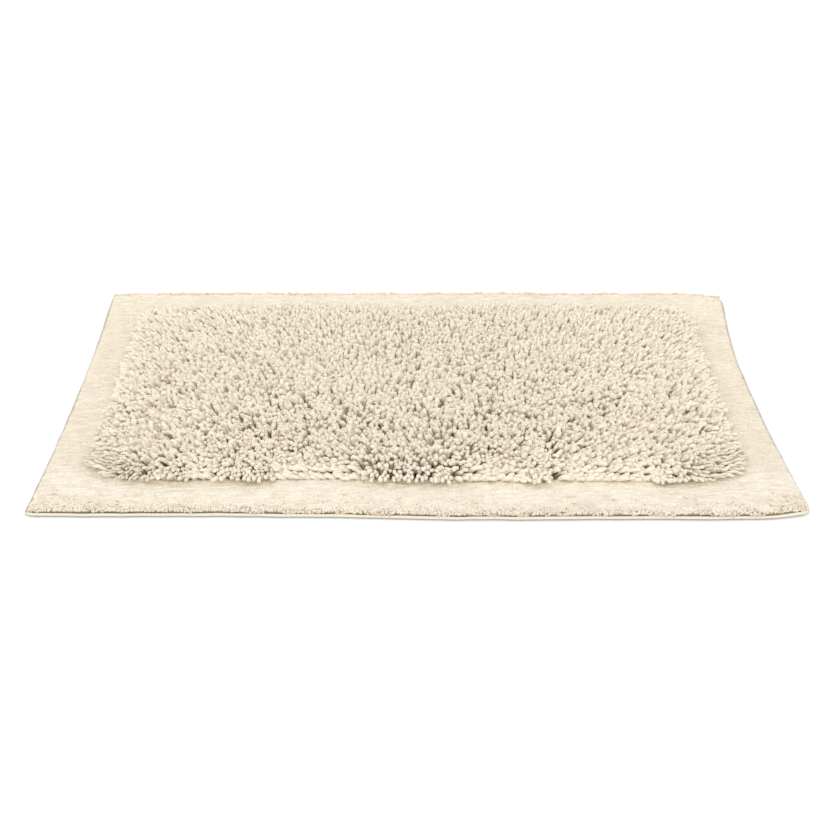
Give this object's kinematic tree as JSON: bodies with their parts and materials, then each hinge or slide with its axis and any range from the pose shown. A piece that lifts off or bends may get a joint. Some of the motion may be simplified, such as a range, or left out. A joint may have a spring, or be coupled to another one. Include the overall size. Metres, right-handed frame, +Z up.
{
  "type": "bath mat",
  "caption": "Rectangular tufted cotton bath mat with a thick shag centre, a low cut-pile border and stitched hems; lies flat to stand on.",
  "frame": {"origin": "centre of the underside, on the floor that the mat lies on", "axes": "+X along the long side, -Y towards the front edge, +Z up through the pile"},
  "size_m": [0.8, 0.5, 0.028],
  "materials": {
    "canvas": "matte",
    "latex": "matte",
    "hem_cloth": "matte",
    "sewing_thread": "satin",
    "border_yarn": "matte",
    "shag_yarn": "matte"
  },
  "bodies": {
    "root": {"base_cloth": "canvas", "latex_coat": "latex", "hem_front": "hem_cloth", "hem_back": "hem_cloth", "hem_left": "hem_cloth", "hem_right": "hem_cloth", "seam_front": "sewing_thread", "seam_back": "sewing_thread", "seam_left": "sewing_thread", "seam_right": "sewing_thread", "border_pile_front": "border_yarn", "border_pile_back": "border_yarn", "border_pile_left": "border_yarn", "border_pile_right": "border_yarn", "shag_row_01": "shag_yarn", "shag_row_02": "shag_yarn", "shag_row_03": "shag_yarn", "shag_row_04": "shag_yarn", "shag_row_05": "shag_yarn", "shag_row_06": "shag_yarn", "shag_row_07": "shag_yarn", "shag_row_08": "shag_yarn", "shag_row_09": "shag_yarn", "shag_row_10": "shag_yarn", "shag_row_11": "shag_yarn", "shag_row_12": "shag_yarn", "shag_row_13": "shag_yarn", "shag_row_14": "shag_yarn", "shag_row_15": "shag_yarn", "shag_row_16": "shag_yarn", "shag_row_17": "shag_yarn", "shag_row_18": "shag_yarn", "shag_row_19": "shag_yarn", "shag_row_20": "shag_yarn", "shag_row_21": "shag_yarn", "shag_row_22": "shag_yarn", "shag_row_23": "shag_yarn", "shag_row_24": "shag_yarn", "shag_row_25": "shag_yarn", "shag_row_26": "shag_yarn", "shag_row_27": "shag_yarn", "shag_row_28": "shag_yarn", "shag_row_29": "shag_yarn", "shag_row_30": "shag_yarn", "shag_row_31": "shag_yarn", "shag_row_32": "shag_yarn", "shag_row_33": "shag_yarn", "shag_row_34": "shag_yarn", "shag_row_35": "shag_yarn", "shag_row_36": "shag_yarn", "shag_row_37": "shag_yarn", "shag_row_38": "shag_yarn"}
  },
  "joints": []
}
